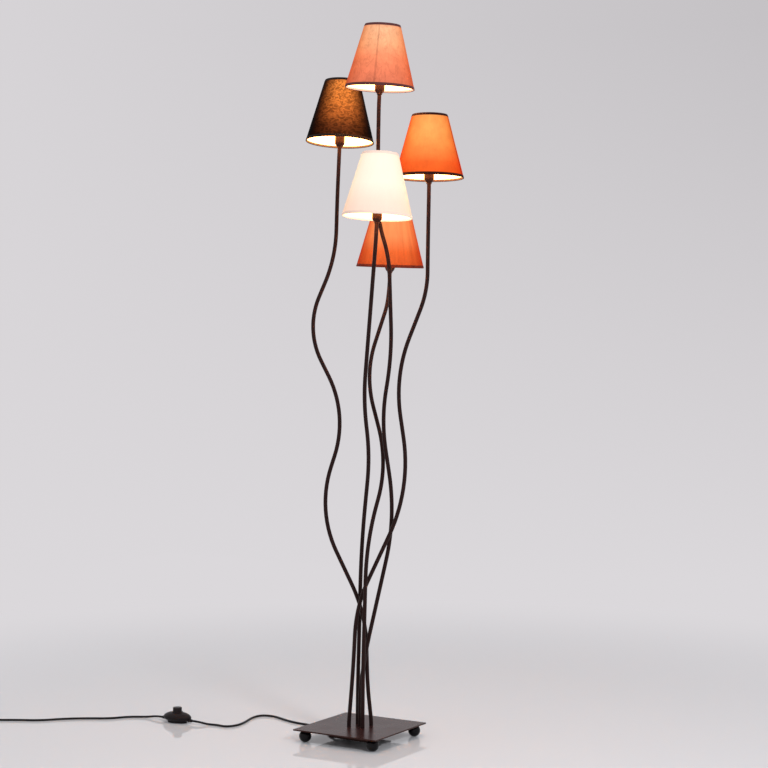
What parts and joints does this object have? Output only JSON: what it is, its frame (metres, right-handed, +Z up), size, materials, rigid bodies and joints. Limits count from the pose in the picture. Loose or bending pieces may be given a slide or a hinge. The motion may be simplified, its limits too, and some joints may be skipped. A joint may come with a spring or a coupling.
{
  "type": "tree floor lamp",
  "caption": "Floor lamp with a bundle of winding steel stems on a square ball-footed plate, a small flared shade on each stem, and a foot switch on its cord.",
  "frame": {"origin": "on the floor under the middle of the square plate, in the standing plane of the ball feet", "axes": "+Z up, X and Y along the plate's sides; the cord leaves towards -X"},
  "size_m": [1.1438, 0.5766, 1.598],
  "materials": {
    "steel_coat": "satin powder coat",
    "foot_lacquer": "gloss",
    "zinc": "zinc plated",
    "terminal_nylon": "matt",
    "black_nylon": "matt",
    "holder_plastic": "gloss",
    "carrier_enamel": "gloss enamel",
    "bulb_glass": "opal, lit",
    "shade_black": "laminated, black outside, white inside",
    "shade_white": "laminated",
    "shade_orange": "laminated, orange outside, white inside",
    "shade_pink": "laminated, pink outside, white inside",
    "switch_plastic": "moulded",
    "spring_steel": "drawn wire",
    "cord_pvc": "satin",
    "pin_brass": "nickel plated"
  },
  "bodies": {
    "lamp": {"base_plate": "steel_coat", "ball_foot_1": "foot_lacquer", "ball_foot_2": "foot_lacquer", "ball_foot_3": "foot_lacquer", "ball_foot_4": "foot_lacquer", "stem_washers": "zinc", "stem_nuts": "zinc", "wiring_cover": "steel_coat", "cover_screws": "zinc", "terminal_block": "terminal_nylon", "cord_gland": "black_nylon", "stem_left": "steel_coat", "cup_left": "steel_coat", "lampholder_left": "holder_plastic", "carrier_left": "carrier_enamel", "collar_left": "holder_plastic", "bulb_left": "bulb_glass", "shade_left": "shade_black", "stem_front": "steel_coat", "cup_front": "steel_coat", "lampholder_front": "holder_plastic", "carrier_front": "carrier_enamel", "collar_front": "holder_plastic", "bulb_front": "bulb_glass", "shade_front": "shade_white", "stem_back": "steel_coat", "cup_back": "steel_coat", "lampholder_back": "holder_plastic", "carrier_back": "carrier_enamel", "collar_back": "holder_plastic", "bulb_back": "bulb_glass", "shade_back": "shade_orange", "stem_top": "steel_coat", "cup_top": "steel_coat", "lampholder_top": "holder_plastic", "carrier_top": "carrier_enamel", "collar_top": "holder_plastic", "bulb_top": "bulb_glass", "shade_top": "shade_pink", "stem_right": "steel_coat", "cup_right": "steel_coat", "lampholder_right": "holder_plastic", "carrier_right": "carrier_enamel", "collar_right": "holder_plastic", "bulb_right": "bulb_glass", "shade_right": "shade_orange", "switch_base": "switch_plastic", "switch_dome": "switch_plastic", "switch_contacts": "terminal_nylon", "switch_spring": "spring_steel", "cord_lamp_to_switch": "cord_pvc", "cord_switch_to_coil": "cord_pvc", "cord_coil": "cord_pvc", "plug_body": "cord_pvc", "plug_pins": "pin_brass"},
    "button": {"switch_button": "switch_plastic"}
  },
  "joints": [
    {"name": "switch_press", "type": "slide", "parent": "lamp", "child": "button", "axis": [0, 0, -1], "range_m": [0, 0.003], "stiffness_N_per_m": 700, "springref_m": -0.003, "deforming": ["switch_spring"]}
  ]
}
